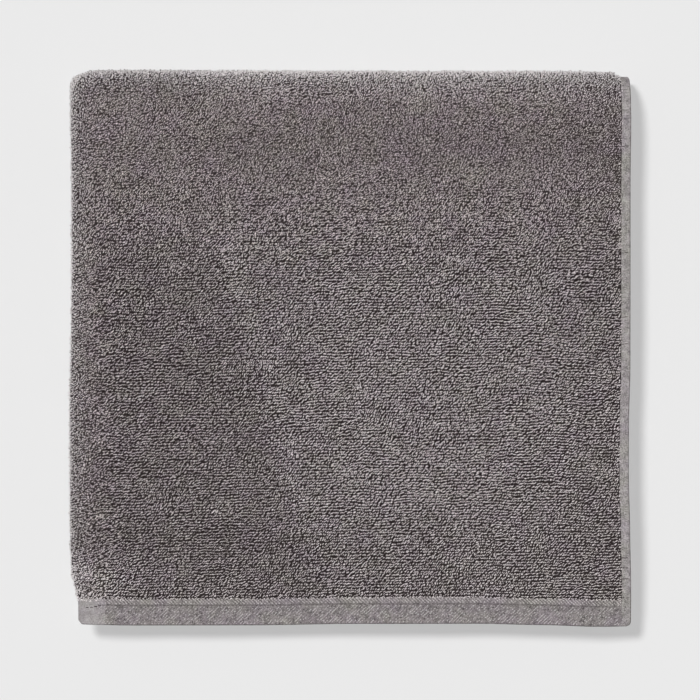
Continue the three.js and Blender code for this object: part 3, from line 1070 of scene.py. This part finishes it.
def new_group(name, inputs, outputs):
    group = bpy.data.node_groups.new(name, "ShaderNodeTree")
    for label, kind, value in inputs:
        socket = group.interface.new_socket(label, in_out="INPUT", socket_type=kind)
        if value is not None:
            socket.default_value = value
    for label, kind in outputs:
        group.interface.new_socket(label, in_out="OUTPUT", socket_type=kind)
    return group, group.nodes.new("NodeGroupInput"), group.nodes.new("NodeGroupOutput")


def calculate(tree, operation, *values):
    """A math node whose inputs are numbers or sockets."""
    node = tree.nodes.new("ShaderNodeMath")
    node.operation = operation
    for socket, value in zip(node.inputs, values, strict=False):
        if isinstance(value, bpy.types.NodeSocket):
            tree.links.new(value, socket)
        else:
            socket.default_value = value
    return node.outputs[0]


def noise(tree, vector, scale, detail=2.0):
    node = tree.nodes.new("ShaderNodeTexNoise")
    node.inputs["Scale"].default_value = scale
    node.inputs["Detail"].default_value = detail
    tree.links.new(vector, node.inputs["Vector"])
    return node.outputs["Fac"]


def blend(tree, factor, first, second, kind="MIX"):
    """A colour mix whose inputs are numbers, colours or sockets."""
    node = tree.nodes.new("ShaderNodeMix")
    node.data_type = "RGBA"
    node.blend_type = kind
    for label, value in (("Factor", factor), ("A", first), ("B", second)):
        socket = next(s for s in node.inputs if s.name == label and s.enabled)
        if isinstance(value, bpy.types.NodeSocket):
            tree.links.new(value, socket)
        else:
            socket.default_value = value
    return next(s for s in node.outputs if s.enabled)


# %% Groups that the finishes share


def make_yarn_group():
    """Yarn colour: a dark and a light shade mixed by tone, with flecks and a drift, and a
    painted sheen that turns the brightest tones and the rim plain grey.
    """
    tree, inside, out = new_group(
        "grey_yarn",
        [
            ("Vector", "NodeSocketVector", None),
            ("Dark", "NodeSocketColor", (0.1, 0.1, 0.1, 1)),
            ("Light", "NodeSocketColor", (0.4, 0.4, 0.4, 1)),
            ("Tone", "NodeSocketFloat", 0.5),
            ("Fleck", "NodeSocketFloat", 0.3),
            ("Painted Sheen", "NodeSocketFloat", 0.0),
        ],
        [("Color", "NodeSocketColor"), ("Height", "NodeSocketFloat")],
    )
    where = inside.outputs["Vector"]
    fibre = noise(tree, where, 1400, 3)
    drift = noise(tree, where, 60)
    fleck = calculate(tree, "SUBTRACT", fibre, 0.5)
    fleck = calculate(tree, "MULTIPLY", fleck, inside.outputs["Fleck"])
    lighter = calculate(tree, "MULTIPLY_ADD", drift, 0.16, 0.92)
    tone = calculate(tree, "MULTIPLY", inside.outputs["Tone"], lighter)
    tone = calculate(tree, "ADD", tone, calculate(tree, "MULTIPLY", fleck, 2.0))
    shade = blend(tree, tone, inside.outputs["Dark"], inside.outputs["Light"])
    cast = calculate(tree, "MULTIPLY_ADD", noise(tree, where, 80), 2.4, -0.7)
    tint = blend(tree, cast, (1.0, 0.955, 0.905, 1), (1.0, 0.9, 0.965, 1))
    # Painted sheen: the brightest tones and the rim lose the warm tint and go plain grey
    paler = tree.nodes.new("ShaderNodeMapRange")
    paler.interpolation_type = "SMOOTHSTEP"
    paler.inputs["From Min"].default_value = 0.85
    paler.inputs["From Max"].default_value = 1.3
    tree.links.new(tone, paler.inputs["Value"])
    sheen_share = calculate(tree, "MAXIMUM", paler.outputs["Result"], inside.outputs["Painted Sheen"])
    tint = blend(tree, sheen_share, tint, (1.0, 1.0, 1.0, 1))
    color = blend(tree, 1.0, shade, tint, "MULTIPLY")
    tree.links.new(color, out.inputs["Color"])
    tree.links.new(fibre, out.inputs["Height"])
    return tree


def make_weave_group():
    """Plain weave: a chequer of threads over and under, from cloth coordinates."""
    tree, inside, out = new_group(
        "plain_weave",
        [("Vector", "NodeSocketVector", None), ("Threads", "NodeSocketFloat", 1100.0)],
        [("Height", "NodeSocketFloat"), ("Mask", "NodeSocketFloat")],
    )
    split = tree.nodes.new("ShaderNodeSeparateXYZ")
    tree.links.new(inside.outputs["Vector"], split.inputs["Vector"])
    waves = []
    for axis in ("X", "Y"):
        turns = calculate(tree, "MULTIPLY", split.outputs[axis], inside.outputs["Threads"])
        waves.append(calculate(tree, "SINE", calculate(tree, "MULTIPLY", turns, math.pi)))
    chequer = calculate(tree, "MULTIPLY", waves[0], waves[1])
    height = calculate(tree, "MULTIPLY_ADD", chequer, 0.5, 0.5)
    patchy = noise(tree, inside.outputs["Vector"], 260)
    grain = noise(tree, inside.outputs["Vector"], 1300)
    mask = calculate(tree, "MULTIPLY_ADD", height, 0.2, -1.1)
    mask = calculate(tree, "MULTIPLY_ADD", patchy, 1.2, mask)
    mask = calculate(tree, "MULTIPLY_ADD", grain, 1.8, mask)
    tree.links.new(height, out.inputs["Height"])
    tree.links.new(mask, out.inputs["Mask"])
    return tree


def make_nap_group():
    """The look of loops where none are laid: short strokes that lean one way."""
    tree, inside, out = new_group(
        "pile_strokes",
        [("Vector", "NodeSocketVector", None)],
        [("Height", "NodeSocketFloat"), ("Mask", "NodeSocketFloat")],
    )
    turn = tree.nodes.new("ShaderNodeMapping")
    turn.inputs["Rotation"].default_value = (0, 0, math.radians(35))
    turn.inputs["Scale"].default_value = (420, 1150, 1)
    tree.links.new(inside.outputs["Vector"], turn.inputs["Vector"])
    strokes = noise(tree, turn.outputs["Vector"], 1.0, 3)
    height = calculate(tree, "MULTIPLY_ADD", strokes, 3.2, -1.1)
    tree.links.new(height, out.inputs["Height"])
    tree.links.new(height, out.inputs["Mask"])
    return tree


def make_brushed_group():
    """Mask is 1 where the pile is brushed smooth, beside the roll and the folded side,
    and Rim is 1 on the very edge of both, where a painted sheen turns the colour grey."""
    tree, inside, out = new_group(
        "brushed_share",
        [("Vector", "NodeSocketVector", None)],
        [("Mask", "NodeSocketFloat"), ("Rim", "NodeSocketFloat")],
    )
    split = tree.nodes.new("ShaderNodeSeparateXYZ")
    tree.links.new(inside.outputs["Vector"], split.inputs["Vector"])
    for label, ranges in (("Mask", BRUSHED), ("Rim", SHEEN_RIM)):
        shares = []
        for axis, (start, stop) in ranges.items():
            share = tree.nodes.new("ShaderNodeMapRange")
            share.interpolation_type = "SMOOTHSTEP"
            share.inputs["From Min"].default_value = start
            share.inputs["From Max"].default_value = stop
            tree.links.new(split.outputs[axis], share.inputs["Value"])
            shares.append(share.outputs["Result"])
        tree.links.new(calculate(tree, "MAXIMUM", *shares), out.inputs[label])
    return tree


yarn_group = make_yarn_group()
brushed_group = make_brushed_group()
weave_group = make_weave_group()
nap_group = make_nap_group()

# %% Finishes for the pile, the ground and the hems


def finish(name, dark, light, roughness, sheen, fleck, bump_distance):
    material = bpy.data.materials.new(name)
    material.use_nodes = True
    tree = material.node_tree
    shader = tree.nodes["Principled BSDF"]
    shader.inputs["Roughness"].default_value = roughness
    shader.inputs["Specular IOR Level"].default_value = 0.05
    shader.inputs["Sheen Weight"].default_value = sheen
    shader.inputs["Sheen Roughness"].default_value = 0.6
    yarn = tree.nodes.new("ShaderNodeGroup")
    yarn.node_tree = yarn_group
    yarn.inputs["Dark"].default_value = (*dark, 1)
    yarn.inputs["Light"].default_value = (*light, 1)
    yarn.inputs["Fleck"].default_value = fleck
    where = tree.nodes.new("ShaderNodeTexCoord")
    tree.links.new(where.outputs["Object"], yarn.inputs["Vector"])
    tree.links.new(yarn.outputs["Color"], shader.inputs["Base Color"])
    bump = tree.nodes.new("ShaderNodeBump")
    bump.inputs["Strength"].default_value = 0.5
    bump.inputs["Distance"].default_value = bump_distance
    tree.links.new(yarn.outputs["Height"], bump.inputs["Height"])
    tree.links.new(bump.outputs["Normal"], shader.inputs["Normal"])
    return material, yarn, bump


def bar_finish(name, dark, light, fleck):
    """For bars of yarn, whose tone is stored on their points."""
    material, yarn, _ = finish(name, dark, light, 0.9, 0.0, fleck, 0.15 * MM)
    tone = material.node_tree.nodes.new("ShaderNodeAttribute")
    tone.attribute_name = "tone"
    material.node_tree.links.new(tone.outputs["Fac"], yarn.inputs["Tone"])
    return material, yarn


def brushed_share(material):
    """How smooth the pile is brushed at each point of a piece."""
    tree = material.node_tree
    where = tree.nodes.new("ShaderNodeTexCoord")
    group = tree.nodes.new("ShaderNodeGroup")
    group.node_tree = brushed_group
    tree.links.new(where.outputs["Object"], group.inputs["Vector"])
    return group.outputs["Mask"], group.outputs["Rim"]


def cloth_finish(name, dark, light, fleck, pattern, bump_distance, threads=None):
    """For the sheet, whose pattern follows the cloth coordinates."""
    material, yarn, bump = finish(name, dark, light, 0.88, 0.0, fleck, bump_distance)
    tree = material.node_tree
    cloth = tree.nodes.new("ShaderNodeUVMap")
    cloth.uv_map = "cloth"
    group = tree.nodes.new("ShaderNodeGroup")
    group.node_tree = pattern
    if threads:
        group.inputs["Threads"].default_value = threads
    tree.links.new(cloth.outputs["UV"], group.inputs["Vector"])
    tree.links.new(group.outputs["Mask"], yarn.inputs["Tone"])
    tree.links.new(group.outputs["Height"], bump.inputs["Height"])
    return material, yarn


terry_loops, loop_yarn = bar_finish("terry_loops", (0.022, 0.019, 0.019), (0.88, 0.845, 0.85), 2.1)
twill_yarn, _ = bar_finish("twill_yarn", (0.06, 0.056, 0.056), (0.64, 0.63, 0.632), 0.8)
# The thread finish also goes on the tucks' bars, where its dark is painted shade
thread_and_tuck_shade, _ = bar_finish("thread_and_tuck_shade", (0.03, 0.027, 0.027), (0.2, 0.18, 0.18), 0.2)
terry_ground, ground_yarn = cloth_finish(
    "terry_ground", (0.018, 0.015, 0.015), (0.12, 0.105, 0.105), 0.1, nap_group, 0.2 * MM
)
terry_nap, _ = cloth_finish(
    "terry_nap", (0.05, 0.044, 0.044), (0.30, 0.265, 0.265), 0.2, nap_group, 0.8 * MM
)
side_hem, _ = cloth_finish(
    "side_hem", (0.12, 0.119, 0.118), (0.5, 0.502, 0.495), 0.8, weave_group, 0.06 * MM, 2300
)
end_hem, _ = cloth_finish(
    "end_hem", (0.1, 0.096, 0.096), (0.38, 0.375, 0.375), 0.5, weave_group, 0.08 * MM, 1900
)
hem_corner, _ = cloth_finish(
    "hem_corner", (0.24, 0.237, 0.24), (0.48, 0.482, 0.488), 0.5, weave_group, 0.06 * MM, 1900
)

# %% Change the finishes where the pile is brushed
BRUSHED_FLECK = 1.7
RIM_SHEEN = 0.75
GAP_TONE = 0.25
BRUSHED_GAP_GAIN = 0.4

loops_tree = terry_loops.node_tree
share, rim = brushed_share(terry_loops)
most = loop_yarn.inputs["Fleck"].default_value
fleck = calculate(loops_tree, "MULTIPLY_ADD", share, BRUSHED_FLECK - most, most)
loops_tree.links.new(fleck, loop_yarn.inputs["Fleck"])
# On the rim the loops get a painted sheen that turns their colour grey
sheen_share = calculate(loops_tree, "MULTIPLY", rim, RIM_SHEEN)
loops_tree.links.new(sheen_share, loop_yarn.inputs["Painted Sheen"])
# The ground's painted shade between the loops is lighter where the pile is brushed
ground_tree = terry_ground.node_tree
share, _ = brushed_share(terry_ground)
pattern = ground_yarn.inputs["Tone"].links[0].from_socket
gap_tone = calculate(ground_tree, "MULTIPLY_ADD", share, BRUSHED_GAP_GAIN, GAP_TONE)
pattern = calculate(ground_tree, "MULTIPLY", pattern, gap_tone)
ground_tree.links.new(pattern, ground_yarn.inputs["Tone"])

# %% Give every piece its finish
# The end hem's own finish stops short of the pile's edge; in the band between, the near-black
# ground finish is painted shadow under the overhanging loops
END_HEM_SHOWS = 15.4 * MM
SIDE_HEM_SHOWS = 5.0 * MM
CORNER_FROM = FLAT_ACROSS - 14 * MM

for material in (terry_ground, side_hem, end_hem, terry_nap, hem_corner):
    towel_cloth.data.materials.append(material)
face_a, face_s = sheet_maps["cloth"].reshape(-1, 4, 2).mean(1).T
from_side = np.minimum(face_a, CUT_WIDTH - face_a)
from_end = np.minimum(face_s, CUT_LENGTH - face_s)
bare = on_inner_face | ((pile_share(face_a, face_s) < 0.5) & (from_end > END_HEM + PILE_STEP))
which = np.where(bare & (from_side > SIDE_HEM + EDGE_LOOPS + EDGE_RUN / 2), 3, 0)
in_end_hem = from_end < END_HEM_SHOWS
which = np.where(in_end_hem, np.where(from_side > CORNER_FROM, 4, 2), which)
which = np.where(from_side < SIDE_HEM_SHOWS, 1, which)
towel_cloth.data.polygons.foreach_set("material_index", which.astype(np.int32))
for piece in pile_pieces:
    piece.data.materials.append(terry_loops)
hem_twill.data.materials.append(twill_yarn)
hem_weave.data.materials.append(twill_yarn)
hem_stitches.data.materials.append(thread_and_tuck_shade)

# %% [markdown]
# ## The pieces on the body
# The sheet stands in for the frame's towel, which is hidden. Every
# other piece rides on the same body.

# %% Hide the frame's towel and attach every piece to the body
laid_on = [*pile_pieces, hem_twill, hem_weave, hem_stitches]
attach(towel_cloth, "root")
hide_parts("towel")
for piece in laid_on:
    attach(piece, "root")
total = sum(len(mesh.polygons) for mesh in bpy.data.meshes if mesh.name != "Plane")
print("faces in all", total)
